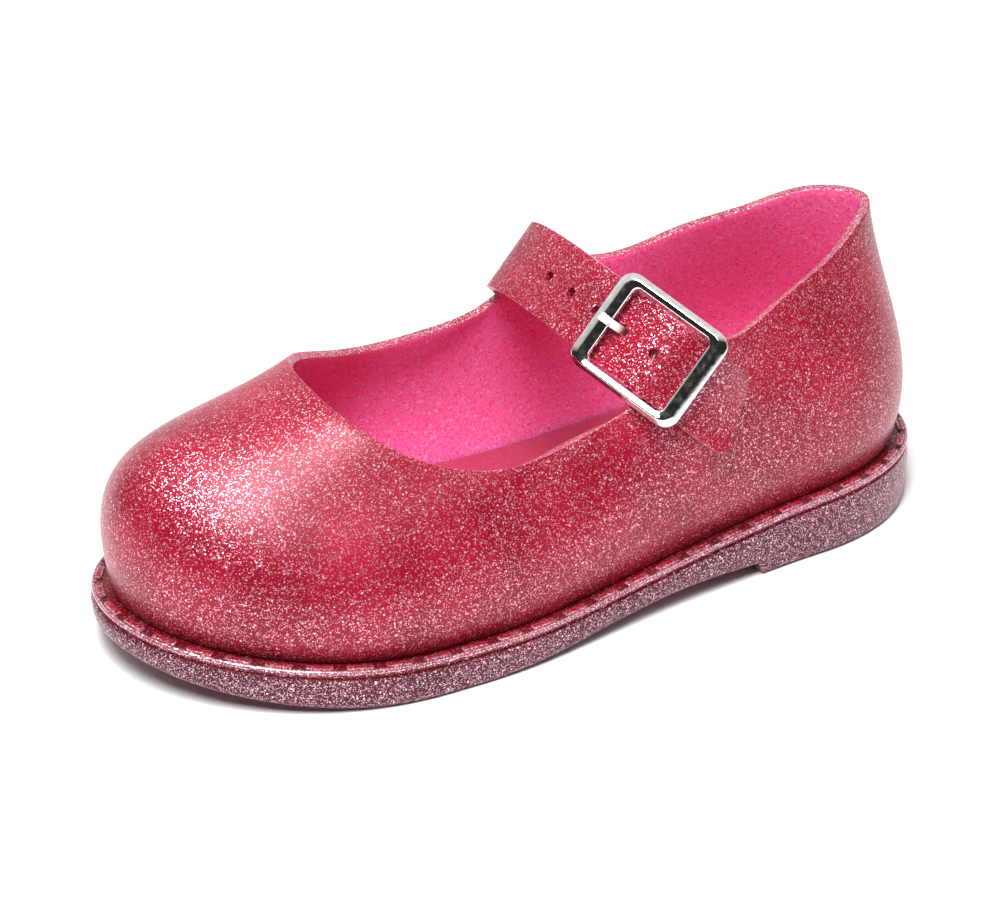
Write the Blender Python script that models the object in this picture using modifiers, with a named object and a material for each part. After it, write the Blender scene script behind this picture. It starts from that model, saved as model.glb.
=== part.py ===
"""A child's closed-toe moulded jelly shoe for the left foot, with one buckled instep strap.

Frame: +X towards the toe, +Y towards the outer side of the foot, +Z up. The origin lies on the floor,
midway along the sole and midway across it. Lengths are in metres.
"""
import math

import bmesh
import bpy
import numpy as np
from mathutils import Matrix, Vector

# Sole
SOLE_LENGTH = 0.170
BALL_WIDTH = 0.0722
HEEL_WIDTH = 0.0560
HEEL_ROUND = 0.034
TOE_ROUND = 0.051
TOE_SWING = 0.00465
TOE_SPRING = 0.0062
ARCH_LIFT = 0.0031
BREAST_DRAFT = 0.0010
FOREFOOT_SIDE = 0.0080
HEEL_SIDE = 0.0129
WELT_LEDGE = 0.0038
WELT_DIP = 0.0007
RIM_WIDTH = 0.0021
RIM_HEIGHT = 0.0010
RIM_ROUND = 0.0006
GROOVE_DEPTH = 0.0006
GROOVE_HEIGHT = 0.0009
SIDE_CROWN = 0.0004
EDGE_ROUND = 0.0012

# Upper and insole
WALL = 0.0018
COLLAR_HEIGHT = 0.0597
BULGE = 0.0060
INSOLE_THICKNESS = 0.0016
GAP = 0.0003

# Strap and tab
STRAP_TIP_ROUND = 0.0022
STRAP_ROOT_FRONT = 0.0110
STRAP_ROOT_REAR = 0.0015
HOLE_DIAMETER = 0.0019
PRONG_HOLE_DIAMETER = 0.0026
HOLE_PITCH = 0.0073
HOLES_BEFORE_PRONG = 3
HOLES_AFTER_PRONG = 1

# Buckle
BUCKLE_STATION = 0.0624
PRONG_REACH = 0.0063
FRAME_LENGTH = 0.0240
FRAME_WIDTH = 0.0204
END_BAR = 0.0034
SIDE_BAR = 0.0022
FRAME_THICKNESS = 0.0020
FRAME_CORNER = 0.0030
FRAME_EDGE = 0.0007
FRAME_LIFT = 0.0014
STRAP_PLAY = 0.0004
STRAP_WIDTH = FRAME_WIDTH - 2 * (SIDE_BAR + STRAP_PLAY)
BAR_DIAMETER = 0.0014
HOOK_TURN = 210
TAB_REACH = 1.4
PRONG_SLOT = 0.0020
PRONG_WIDTH = 0.0015
PRONG_THICKNESS = 0.0008
PRONG_START = 120

# Counts of faces
SIDE_COLUMNS = 36
WALL_ROWS = 11
STRAP_COLUMNS = 7
STRAP_ROWS = 44
ROUND_SIDES = 20
HOOK_STEPS = 7

# Bottom outline: how far each section is from heel width (0) to ball width (1), and its sideways swing
SOLE_STATIONS = (
    # length, widening, swing
    (-0.50, 0.00, 0.44),
    (-0.40, 0.00, 0.45),
    (-0.30, 0.00, 0.46),
    (-0.20, 0.10, 0.33),
    (-0.10, 0.25, 0.17),
    (0.00, 0.51, 0.02),
    (0.10, 0.85, 0.05),
    (0.20, 1.00, 0.22),
    (0.30, 1.00, 0.32),
    (0.40, 1.00, 0.64),
    (0.50, 1.00, 1.00),
)

# Height of the rim, from the forefoot's side height (0) to the heel's (1), on top of the toe spring
RIM_STATIONS = (
    # length, height
    (-0.50, 0.88),
    (-0.40, 1.03),
    (-0.30, 0.92),
    (-0.20, 0.67),
    (-0.10, 0.36),
    (0.00, 0.10),
    (0.10, -0.02),
    (0.20, 0.00),
    (0.30, 0.03),
    (0.40, -0.10),
    (0.50, -0.40),
)

# Underside between the heel's front face and the ball, as shares of the arch lift
HEEL_BREAST = -0.2195
BALL_REST = (0.15, 0.22)
ARCH_STATIONS = (
    # length, lift
    (-0.22, 0.75),
    (-0.13, 1.00),
    (0.00, 0.65),
    (0.09, 0.18),
    (0.15, 0.00),
)

# Edge of the throat from the strap's root round the toe to the tab, in shares of length, half width and
# collar height. Foot is the angle round the sole of the wall below: heel 0, outer side 90, toe 180.
THROAT_STATIONS = (
    # foot, length, side, height
    (258.0, -0.025, -0.740, 0.688),
    (248.0, 0.034, -0.748, 0.655),
    (234.0, 0.100, -0.762, 0.642),
    (217.0, 0.170, -0.676, 0.686),
    (201.0, 0.225, -0.521, 0.757),
    (180.0, 0.259, -0.060, 0.810),
    (159.0, 0.225, 0.414, 0.724),
    (143.0, 0.170, 0.585, 0.643),
    (126.0, 0.100, 0.688, 0.610),
    (111.0, 0.027, 0.670, 0.625),
    (98.0, -0.0393, 0.611, 0.655),
)

# Edge of the collar from the tab round the heel to the strap's root, in the same shares
COLLAR_STATIONS = (
    # foot, length, side, height
    (63.0, -0.180, 0.600, 0.826),
    (52.0, -0.270, 0.466, 0.868),
    (34.0, -0.350, 0.345, 0.930),
    (18.0, -0.410, 0.203, 0.988),
    (0.0, -0.4524, -0.057, 1.000),
    (-18.0, -0.410, -0.317, 0.988),
    (-34.0, -0.350, -0.450, 0.930),
    (-52.0, -0.270, -0.580, 0.864),
    (-65.0, -0.185, -0.680, 0.796),
)
TAB_FOOT = (89.0, 72.0)
STRAP_FOOT = (266.0, 286.0)

# Shape of the wall between sole and topline: bulge of its foot and where its shoulder lies
WALL_STATIONS = (
    # foot, bulge, rise, reach, drop
    (-180.0, 1.22, 1.00, 0.50, 0.20),
    (-135.0, 1.10, 0.67, 0.56, 0.32),
    (-90.0, 0.60, 0.40, 0.40, 0.30),
    (-45.0, 0.80, 0.34, 0.50, 0.36),
    (0.0, 1.05, 0.36, 0.45, 0.36),
    (45.0, 0.90, 0.40, 0.80, 0.34),
    (68.0, 0.80, 0.42, 0.70, 0.34),
    (90.0, 0.70, 0.40, 0.50, 0.36),
    (135.0, 1.10, 0.52, 0.56, 0.16),
    (180.0, 1.22, 1.00, 0.50, 0.20),
)

# Middle of the strap from its root on the inner side over the instep to its free tip
STRAP_PATH = (
    # length, side, height
    (-0.126, -0.740, 0.680),
    (-0.101, -0.730, 0.754),
    (-0.069, -0.700, 0.848),
    (-0.059, -0.538, 0.894),
    (-0.057, -0.205, 0.917),
    (-0.0675, 0.260, 0.894),
    (-0.1052, 0.698, 0.7965),
    (-0.174, 0.758, 0.597),
)
STRAP_ACROSS = Vector((-0.65, 0.01, 0.76)).normalized()
STRAP_TWIST = math.radians(24)


def clear_scene():
    for item in list(bpy.data.objects):
        bpy.data.objects.remove(item, do_unlink=True)


def spline(knots, values, at):
    """Natural cubic spline through values at knots, read at one place or at many."""
    knots = np.asarray(knots, float)
    values = np.asarray(values, float)
    count = len(knots)
    step = np.diff(knots)
    slope = np.diff(values, axis=0) / (step[:, None] if values.ndim > 1 else step)
    matrix = np.eye(count)
    right = np.zeros_like(values)
    for row in range(1, count - 1):
        matrix[row, row - 1] = step[row - 1]
        matrix[row, row] = 2 * (step[row - 1] + step[row])
        matrix[row, row + 1] = step[row]
        right[row] = 3 * (slope[row] - slope[row - 1])
    bend = np.linalg.solve(matrix, right)
    at = np.asarray(at, float)
    cell = np.clip(np.searchsorted(knots, at) - 1, 0, count - 2)
    run = at - knots[cell]
    width = step[cell]
    if values.ndim > 1:
        run = run[..., None]
        width = width[..., None]
    start = slope[cell] - width * (2 * bend[cell] + bend[cell + 1]) / 3
    cubic = (bend[cell + 1] - bend[cell]) / (3 * width)
    return values[cell] + start * run + bend[cell] * run ** 2 + cubic * run ** 3


def column(table, place):
    return [row[place] for row in table]


def in_shares(row):
    """A table row's length, side and height shares as a point."""
    return np.array((row[0] * SOLE_LENGTH, row[1] * BALL_WIDTH / 2, row[2] * COLLAR_HEIGHT))


def end_rounding(share):
    """How much of the full width is left near the heel and toe ends of the outline."""
    from_heel = (share + 0.5) * SOLE_LENGTH / HEEL_ROUND
    from_toe = (0.5 - share) * SOLE_LENGTH / TOE_ROUND
    near = min(from_heel, from_toe, 1.0)
    return math.sqrt(max(0.0, 1 - (1 - near) ** 2))


def raw_outline(angle):
    """The sole's edge at an angle round the foot, before it is centred across."""
    share = -0.5 * math.cos(math.radians(angle))
    widening = spline(column(SOLE_STATIONS, 0), column(SOLE_STATIONS, 1), share)
    swing = spline(column(SOLE_STATIONS, 0), column(SOLE_STATIONS, 2), share)
    half = (HEEL_WIDTH + (BALL_WIDTH - HEEL_WIDTH) * widening) / 2 * end_rounding(share)
    outer = 1 if math.sin(math.radians(angle)) >= 0 else -1
    return np.array((share * SOLE_LENGTH, outer * half - TOE_SWING * swing))


def outline_centre():
    sides = [raw_outline(angle)[1] for angle in range(0, 360, 3)]
    return (max(sides) + min(sides)) / 2


OUTLINE_CENTRE = outline_centre()


def outline(angle, outward=0.0):
    """A point of the sole's edge, moved outward along the edge's normal."""
    step = 1.5
    here = raw_outline(angle)
    along = raw_outline(angle + step) - raw_outline(angle - step)
    along /= np.linalg.norm(along)
    normal = np.array((-along[1], along[0]))
    here = here + normal * outward
    return np.array((here[0], here[1] - OUTLINE_CENTRE)), normal


def sole_share(angle):
    return -0.5 * math.cos(math.radians(angle))


def underside(share):
    """Height of the sole's underside: heel flat, arch, ball flat, toe spring."""
    breast_top = HEEL_BREAST + BREAST_DRAFT / SOLE_LENGTH
    if share <= HEEL_BREAST + 1e-6:
        return 0.0
    if share < BALL_REST[0]:
        lift = ARCH_LIFT * float(spline(column(ARCH_STATIONS, 0), column(ARCH_STATIONS, 1), share))
        return max(0.0, lift) * min(1.0, (share - HEEL_BREAST) / (breast_top - HEEL_BREAST))
    if share <= BALL_REST[1]:
        return 0.0
    return TOE_SPRING * ((share - BALL_REST[1]) / (0.5 - BALL_REST[1])) ** 2


def rim_top(share):
    """Height of the welt's outer rim."""
    height = float(spline(column(RIM_STATIONS, 0), column(RIM_STATIONS, 1), share))
    spring = underside(share) if share > BALL_REST[1] else 0.0
    return FOREFOOT_SIDE + (HEEL_SIDE - FOREFOOT_SIDE) * height + spring


def footbed(share):
    """Height of the sole's top inside the rim, on which upper and insole stand."""
    return rim_top(share) - WELT_DIP


def sole_angles():
    """Angles of the columns on the outer side, with two of them at the heel's front face."""
    angles = [180 * step / SIDE_COLUMNS for step in range(1, SIDE_COLUMNS)]
    places = (HEEL_BREAST, HEEL_BREAST + BREAST_DRAFT / SOLE_LENGTH, BALL_REST[0], BALL_REST[1])
    for place in places:
        exact = math.degrees(math.acos(-2 * place))
        spare = min(angles, key=lambda angle: abs(angle - exact))
        angles[angles.index(spare)] = exact
    return sorted(angles)


def arc(centre_out, centre_up, radius, start, stop, steps):
    """Points of a round edge in a section: outward and upward."""
    points = []
    for step in range(steps + 1):
        angle = math.radians(start + (stop - start) * step / steps)
        points.append((centre_out + radius * math.cos(angle), centre_up + radius * math.sin(angle)))
    return points


def sole_section(share):
    """Rows of the sole's section from the footbed's edge over the rim and down to the floor."""
    top = rim_top(share)
    low = underside(share)
    rim_low = top - RIM_HEIGHT
    side_top = rim_low - GROOVE_HEIGHT
    side = side_top - low - EDGE_ROUND
    rows = [(-WELT_LEDGE - WALL, top - WELT_DIP), (-WELT_LEDGE, top - WELT_DIP)]
    rows += [(-RIM_WIDTH, top - WELT_DIP)]
    rows += arc(-RIM_ROUND, top - RIM_ROUND, RIM_ROUND, 110, 0, 4)
    rows += [(-RIM_ROUND / 4, rim_low), (-GROOVE_DEPTH, rim_low - GROOVE_HEIGHT / 4)]
    rows += [(-GROOVE_DEPTH, side_top + GROOVE_HEIGHT / 4), (-SIDE_CROWN / 2, side_top)]
    rows += [(SIDE_CROWN / 2, side_top - side / 3), (0, side_top - side * 3 / 4)]
    rows += arc(-EDGE_ROUND, low + EDGE_ROUND, EDGE_ROUND, 0, -90, 3)
    return rows


def banded_solid(name, section, angles):
    """A closed solid lofted round the outline: one ring for each row, strips across the first and last."""
    sides = [0.0] + angles + [180.0] + [360 - angle for angle in reversed(angles)]
    mesh = bmesh.new()
    rings = []
    for angle in sides:
        ring = []
        for outward, height in section(sole_share(angle)):
            point, _ = outline(angle, outward)
            ring.append(mesh.verts.new((point[0], point[1], height)))
        rings.append(ring)
    count = len(rings)
    rows = len(rings[0])
    for place in range(count):
        here = rings[place]
        ahead = rings[(place + 1) % count]
        for row in range(rows - 1):
            mesh.faces.new((here[row], here[row + 1], ahead[row + 1], ahead[row]))
    for row in (0, rows - 1):
        half = count // 2
        for step in range(half):
            quad = [rings[step][row], rings[step + 1][row]]
            quad += [rings[(count - step - 1) % count][row], rings[(count - step) % count][row]]
            face = []
            for vert in quad:
                if vert not in face:
                    face.append(vert)
            mesh.faces.new(face)
    bmesh.ops.recalc_face_normals(mesh, faces=mesh.faces)
    return finished(name, mesh)


def finished(name, mesh):
    data = bpy.data.meshes.new(name)
    mesh.to_mesh(data)
    mesh.free()
    item = bpy.data.objects.new(name, data)
    bpy.context.scene.collection.objects.link(item)
    return item


def strap_curve(count=400):
    """Points of the strap's middle line, with their distance from its start."""
    knots = np.array([in_shares(row) for row in STRAP_PATH])
    chord = np.r_[0, np.cumsum(np.linalg.norm(np.diff(knots, axis=0), axis=1))]
    points = spline(chord, knots, np.linspace(0, chord[-1], count))
    run = np.r_[0, np.cumsum(np.linalg.norm(np.diff(points, axis=0), axis=1))]
    return points, run


STRAP_POINTS, STRAP_RUN = strap_curve()
STRAP_LENGTH = float(STRAP_RUN[-1])


def strap_frame(station):
    """Place, direction, width direction and outward normal of the strap's middle at a distance along it."""
    def place(run):
        return Vector([float(np.interp(run, STRAP_RUN, STRAP_POINTS[:, axis])) for axis in range(3)])
    step = STRAP_LENGTH / 150
    ahead = place(min(station + step, STRAP_LENGTH))
    behind = place(max(station - step, 0.0))
    along = (ahead - behind).normalized()
    normal = along.cross(STRAP_ACROSS).normalized()
    frame_end = BUCKLE_STATION + FRAME_LENGTH / 2
    past_buckle = max(0.0, (station - frame_end) / (STRAP_LENGTH - frame_end))
    turn = Matrix.Rotation(-STRAP_TWIST * past_buckle, 3, along)
    return place(station), along, turn @ STRAP_ACROSS, turn @ normal


def strap_point(station, across, lift):
    """A point on the strap: distance along it, share of its half width, and height over its middle."""
    place, _, width, normal = strap_frame(station)
    return place + width * (across * STRAP_WIDTH / 2) + normal * lift


HOOK_STEP = math.radians(HOOK_TURN / HOOK_STEPS)
HOOK_RADIUS = (BAR_DIAMETER / 2 + GAP + WALL) / math.cos(HOOK_STEP / 2)
TAB_LIFT = -WALL / 2 - GAP
TAB_ROOT = BUCKLE_STATION + TAB_REACH * HOOK_RADIUS
STRAP_ROOTS = (STRAP_ROOT_FRONT, STRAP_ROOT_REAR)
TAB_ROOTS = (TAB_ROOT, TAB_ROOT)


def root_station(roots, share):
    """Distance along the strap at which it, or the tab, leaves the wall: front corner (-1) to rear corner (1)."""
    return roots[0] + (roots[1] - roots[0]) * (share + 1) / 2


def root_line(roots, lift, share):
    """The line where strap or tab leaves the wall."""
    return np.array(strap_point(root_station(roots, share), share, lift))


def topline_stations(table, first, last):
    """Foot angles and points of one open edge, with the root corners at both ends."""
    angles = [first[0]] + column(table, 0) + [last[0]]
    points = [first[1]] + [in_shares(row[1:]) for row in table] + [last[1]]
    return angles, np.array(points)


def wall_columns():
    """Foot angle and topline point of each column of the upper, once round from the tab's front corner."""
    tab_front = root_line(TAB_ROOTS, TAB_LIFT, -1)
    tab_rear = root_line(TAB_ROOTS, TAB_LIFT, 1)
    strap_front = root_line(STRAP_ROOTS, WALL / 2, -1)
    strap_rear = root_line(STRAP_ROOTS, WALL / 2, 1)
    columns = []

    def edge(table, first, last, count):
        angles, points = topline_stations(table, first, last)
        run = np.r_[0, np.cumsum(np.linalg.norm(np.diff(points, axis=0), axis=1))]
        for step in range(count):
            at = run[-1] * step / count
            columns.append((float(np.interp(at, run, angles)), spline(run, points, at), None))

    def root(roots, lift, feet, start, kind):
        for step in range(STRAP_COLUMNS):
            share = start - 2 * start * step / STRAP_COLUMNS
            foot = feet[0] + (feet[1] - feet[0]) * step / STRAP_COLUMNS
            columns.append((foot, root_line(roots, lift, share), kind))

    root(TAB_ROOTS, TAB_LIFT, TAB_FOOT, -1, "tab")
    rear = (TAB_FOOT[1], tab_rear)
    behind = (STRAP_FOOT[1] - 360, strap_rear)
    edge(COLLAR_STATIONS, rear, behind, 2 * SIDE_COLUMNS // 3)
    feet = (STRAP_FOOT[1] - 360, STRAP_FOOT[0] - 360)
    root(STRAP_ROOTS, WALL / 2, feet, 1, "strap")
    throat = [(row[0] - 360,) + tuple(row[1:]) for row in THROAT_STATIONS]
    front = (STRAP_FOOT[0] - 360, strap_front)
    edge(throat, front, (TAB_FOOT[0] - 360, tab_front), SIDE_COLUMNS)
    return columns


def meridian(foot, top, share):
    """A point of the wall's outside, from the sole (0) to the topline (1)."""
    turn = (foot + 180) % 360 - 180
    low, normal = outline(turn, -WELT_LEDGE)
    base = np.array((low[0], low[1], footbed(sole_share(turn)) + GAP))
    out = np.array((normal[0], normal[1], 0.0))
    angles = column(WALL_STATIONS, 0)
    bulge, rise, reach, drop = [spline(angles, column(WALL_STATIONS, place), turn) for place in range(1, 5)]
    height = top[2] - base[2]
    up = np.array((0, 0, 1.0))
    level = (base - top) * np.array((1, 1, 0))
    first = base + out * BULGE * bulge + up * height * rise
    second = top + level * reach - up * height * drop
    rest = 1 - share
    return rest ** 3 * base + 3 * rest ** 2 * share * first + 3 * rest * share ** 2 * second + share ** 3 * top


def strap_half_width(station):
    """Share of the full half width near the rounded tip."""
    left = STRAP_LENGTH - station
    if left >= STRAP_TIP_ROUND:
        return 1.0
    cut = STRAP_TIP_ROUND - math.sqrt(max(0.0, STRAP_TIP_ROUND ** 2 - (STRAP_TIP_ROUND - left) ** 2))
    return 1.0 - cut / (STRAP_WIDTH / 2)


def strap_rows():
    """Rows of the strap as shares of its way from root to tip, closer together over the rounded tip."""
    middle = root_station(STRAP_ROOTS, 0)
    straight = 1 - STRAP_TIP_ROUND / (STRAP_LENGTH - middle)
    rows = [straight * step / STRAP_ROWS for step in range(1, STRAP_ROWS + 1)]
    rows += [straight + (1 - straight) * math.sin(math.radians(turn)) for turn in (30, 60, 90)]
    return rows


def bar_centre():
    """Middle of the buckle's centre bar, under the strap and inside the tab's hook."""
    return strap_point(BUCKLE_STATION, 0, TAB_LIFT - HOOK_RADIUS)


def upper_sheet():
    """The outside of the upper as one open sheet: wall, strap and tab."""
    mesh = bmesh.new()
    columns = wall_columns()
    grid = []
    for foot, top, _ in columns:
        rows = []
        for row in range(WALL_ROWS + 1):
            rows.append(mesh.verts.new(meridian(foot, top, row / WALL_ROWS)))
        grid.append(rows)
    count = len(grid)
    for place in range(count):
        here = grid[place]
        ahead = grid[(place + 1) % count]
        for row in range(WALL_ROWS):
            mesh.faces.new((here[row], here[row + 1], ahead[row + 1], ahead[row]))

    pitch = STRAP_WIDTH / STRAP_COLUMNS
    slot = [place for place in range(STRAP_COLUMNS) if abs(place + 0.5 - STRAP_COLUMNS / 2) * pitch < PRONG_SLOT / 2]

    def band(kind, roots, end, ways, lift, start, slotted):
        """Rows of strap or tab from its root, the last one slotted for the prong or not; gives back that row."""
        first = [place for place, item in enumerate(columns) if item[2] == kind][0]
        behind = [grid[(first + step) % count][WALL_ROWS] for step in range(STRAP_COLUMNS + 1)]
        shares = [start - 2 * start * step / STRAP_COLUMNS for step in range(STRAP_COLUMNS + 1)]
        for way in ways:
            row = []
            for share in shares:
                leave = root_station(roots, share)
                station = leave + (end - leave) * way
                half = strap_half_width(station)
                row.append(mesh.verts.new(strap_point(station, share * half, lift)))
            for step in range(STRAP_COLUMNS):
                if not (slotted and way == ways[-1] and step in slot):
                    mesh.faces.new((behind[step], row[step], row[step + 1], behind[step + 1]))
            behind = row
        return behind

    band("strap", STRAP_ROOTS, STRAP_LENGTH, strap_rows(), WALL / 2, 1, False)
    behind = band("tab", TAB_ROOTS, BUCKLE_STATION, (0.4, 1.0), TAB_LIFT, -1, True)
    middle = bar_centre()
    _, along, _, normal = strap_frame(BUCKLE_STATION)
    for step in range(1, HOOK_STEPS + 1):
        angle = HOOK_STEP * step
        swing = normal * (HOOK_RADIUS * math.cos(angle)) - along * (HOOK_RADIUS * math.sin(angle))
        row = []
        for place in range(STRAP_COLUMNS + 1):
            across = (2 * place / STRAP_COLUMNS - 1) * STRAP_WIDTH / 2
            row.append(mesh.verts.new(middle + swing + STRAP_ACROSS * across))
        for place in range(STRAP_COLUMNS):
            if place not in slot:
                mesh.faces.new((behind[place], row[place], row[place + 1], behind[place + 1]))
        behind = row
    bmesh.ops.recalc_face_normals(mesh, faces=mesh.faces)
    return finished("upper", mesh)


def apply_modifiers(item):
    """Replace an object's mesh by the mesh that its modifiers make."""
    graph = bpy.context.evaluated_depsgraph_get()
    data = bpy.data.meshes.new_from_object(item.evaluated_get(graph))
    item.modifiers.clear()
    item.data = data


def as_mesh(item):
    """A curve as a mesh object with welded caps."""
    graph = bpy.context.evaluated_depsgraph_get()
    data = bpy.data.meshes.new_from_object(item.evaluated_get(graph))
    mesh = bmesh.new()
    mesh.from_mesh(data)
    bmesh.ops.remove_doubles(mesh, verts=mesh.verts, dist=0.00001)
    mesh.to_mesh(data)
    mesh.free()
    copy = bpy.data.objects.new(item.name, data)
    copy.matrix_world = item.matrix_world.copy()
    name = item.name
    bpy.data.objects.remove(item, do_unlink=True)
    copy.name = name
    bpy.context.scene.collection.objects.link(copy)
    return copy


def frame_matrix(place, along, across, normal):
    """A matrix whose X runs along, Y across and Z outward."""
    turn = Matrix((along, across, normal)).transposed().to_4x4()
    return Matrix.Translation(place) @ turn


def rod(name, start, stop, radius):
    """A round rod between two points."""
    middle = (start + stop) / 2
    bpy.ops.mesh.primitive_cylinder_add(vertices=ROUND_SIDES, radius=radius, depth=(stop - start).length)
    item = bpy.context.object
    item.name = name
    item.matrix_world = Matrix.Translation(middle) @ (stop - start).to_track_quat("Z", "Y").to_matrix().to_4x4()
    return item


def join_or_cut(item, tools, operation):
    for tool in tools:
        step = item.modifiers.new(operation.lower(), "BOOLEAN")
        step.operation = operation
        step.solver = "EXACT"
        step.object = tool
        bpy.context.view_layer.update()
        apply_modifiers(item)


def as_cutters(tools, cutters):
    for tool in tools:
        for home in list(tool.users_collection):
            home.objects.unlink(tool)
        cutters.objects.link(tool)
        tool.hide_render = True
        tool.display_type = "WIRE"


def buckle_place():
    """The frame's own matrix: X along the strap, Y across it, Z outward."""
    reach = (FRAME_LENGTH - END_BAR) / 2
    front = strap_point(BUCKLE_STATION - reach, 0, 0)
    rear = strap_point(BUCKLE_STATION + reach, 0, 0)
    normal = (rear - front).cross(STRAP_ACROSS).normalized()
    along = STRAP_ACROSS.cross(normal).normalized()
    lift = WALL / 2 + FRAME_LIFT + FRAME_THICKNESS / 2
    centre = (front + rear) / 2 + normal * lift
    centre += STRAP_ACROSS * (bar_centre() - centre).dot(STRAP_ACROSS)
    return frame_matrix(centre, along, STRAP_ACROSS, normal)


def make_upper(cutters):
    upper = upper_sheet()
    shell = upper.modifiers.new("wall", "SOLIDIFY")
    shell.thickness = WALL
    shell.offset = -1
    shell.use_even_offset = True
    shell.use_rim = True
    apply_modifiers(upper)
    prong_hole = BUCKLE_STATION - PRONG_REACH
    cuts = []
    for step in range(-HOLES_BEFORE_PRONG, HOLES_AFTER_PRONG + 1):
        station = prong_hole + step * HOLE_PITCH
        place, _, _, normal = strap_frame(station)
        radius = (PRONG_HOLE_DIAMETER if step == 0 else HOLE_DIAMETER) / 2
        depth = (WALL + GAP) / 2
        cuts.append(rod("hole", place - normal * depth, place + normal * depth, radius))
    join_or_cut(upper, cuts, "DIFFERENCE")
    as_cutters(cuts, cutters)
    return upper


def insole_section(share):
    low = footbed(share) + GAP
    top = low + INSOLE_THICKNESS
    edge = -WELT_LEDGE - WALL - GAP
    soft = INSOLE_THICKNESS / 4
    return [(edge, low), (edge, top - soft), (edge - soft, top)]


def rounded_rectangle(curve, length, width, radius):
    """A closed outline of straight sides and round corners."""
    spline_curve = curve.splines.new("POLY")
    points = []
    for corner, (side_x, side_y) in enumerate(((1, 1), (-1, 1), (-1, -1), (1, -1))):
        for step in range(6):
            angle = math.radians(90 * corner + 18 * step)
            x = side_x * (length / 2 - radius) + radius * math.cos(angle)
            y = side_y * (width / 2 - radius) + radius * math.sin(angle)
            points.append((x, y))
    spline_curve.points.add(len(points) - 1)
    for point, (x, y) in zip(spline_curve.points, points):
        point.co = (x, y, 0, 1)
    spline_curve.use_cyclic_u = True


def flat_outline(name, thickness):
    curve = bpy.data.curves.new(name, "CURVE")
    curve.dimensions = "2D"
    curve.fill_mode = "BOTH"
    curve.extrude = thickness / 2
    item = bpy.data.objects.new(name, curve)
    bpy.context.scene.collection.objects.link(item)
    return item, curve


def soften(item, width, segments):
    edge = item.modifiers.new("edge", "BEVEL")
    edge.width = width
    edge.segments = segments
    edge.limit_method = "ANGLE"
    edge.angle_limit = math.radians(40)
    bpy.context.view_layer.update()
    apply_modifiers(item)


def make_frame():
    """The metal frame with its dropped centre bar."""
    frame, curve = flat_outline("buckle_frame", FRAME_THICKNESS)
    rounded_rectangle(curve, FRAME_LENGTH, FRAME_WIDTH, FRAME_CORNER)
    rounded_rectangle(curve, FRAME_LENGTH - 2 * END_BAR, FRAME_WIDTH - 2 * SIDE_BAR, FRAME_CORNER - END_BAR / 2)
    bpy.context.view_layer.update()
    frame = as_mesh(frame)
    soften(frame, FRAME_EDGE, 2)
    place = buckle_place()
    frame.matrix_world = place
    bpy.context.view_layer.update()
    middle = place.inverted() @ bar_centre()
    side = (FRAME_WIDTH - SIDE_BAR) / 2
    bar_curve = bpy.data.curves.new("centre_bar", "CURVE")
    bar_curve.dimensions = "3D"
    bar_curve.bevel_depth = BAR_DIAMETER / 2
    bar_curve.bevel_resolution = 2
    bar_curve.use_fill_caps = True
    line = bar_curve.splines.new("POLY")
    turn = BAR_DIAMETER
    soft = turn * (1 - math.cos(math.radians(45)))
    route = [(-side, 0), (-side, middle.z + turn), (-side + soft, middle.z + soft)]
    route += [(-side + turn, middle.z)]
    route += [(-y, z) for y, z in reversed(route)]
    line.points.add(len(route) - 1)
    for point, (y, z) in zip(line.points, route):
        point.co = (middle.x, y, z, 1)
    bar = bpy.data.objects.new("centre_bar", bar_curve)
    bpy.context.scene.collection.objects.link(bar)
    bar.matrix_world = place
    bpy.context.view_layer.update()
    bar = as_mesh(bar)
    join_or_cut(frame, [bar], "UNION")
    bpy.data.objects.remove(bar, do_unlink=True)
    return frame


def prong_route():
    """Middle line of the prong's arm in the frame's own X and Z, its ring's radius and centre, and its axis."""
    place = buckle_place()
    middle = place.inverted() @ bar_centre()
    across = place.to_3x3() @ Vector((0, 1, 0))
    prong_hole = place.inverted() @ strap_point(BUCKLE_STATION - PRONG_REACH, 0, 0)
    under = place.inverted() @ strap_point(BUCKLE_STATION - PRONG_REACH / 2, 0, TAB_LIFT - PRONG_THICKNESS / 2)
    below = place.inverted() @ strap_point(BUCKLE_STATION - PRONG_REACH, 0, TAB_LIFT - PRONG_THICKNESS / 2)
    front_bar = -(FRAME_LENGTH - END_BAR) / 2
    over = FRAME_THICKNESS / 2 + GAP + PRONG_THICKNESS / 2
    ring = BAR_DIAMETER / 2 + GAP + PRONG_THICKNESS / 2
    start = math.radians(PRONG_START)
    line = [(middle.x + ring * math.cos(start), middle.z + ring * math.sin(start)), (under.x, under.z)]
    line += [(below.x + PRONG_THICKNESS / 2, below.z)]
    line += [(prong_hole.x - PRONG_THICKNESS / 4, prong_hole.z)]
    line += [(front_bar + END_BAR / 2, over - PRONG_THICKNESS / 8)]
    line += [(front_bar + END_BAR / 4, over), (front_bar - END_BAR / 4, over)]
    return place, line, ring, middle, across


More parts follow.
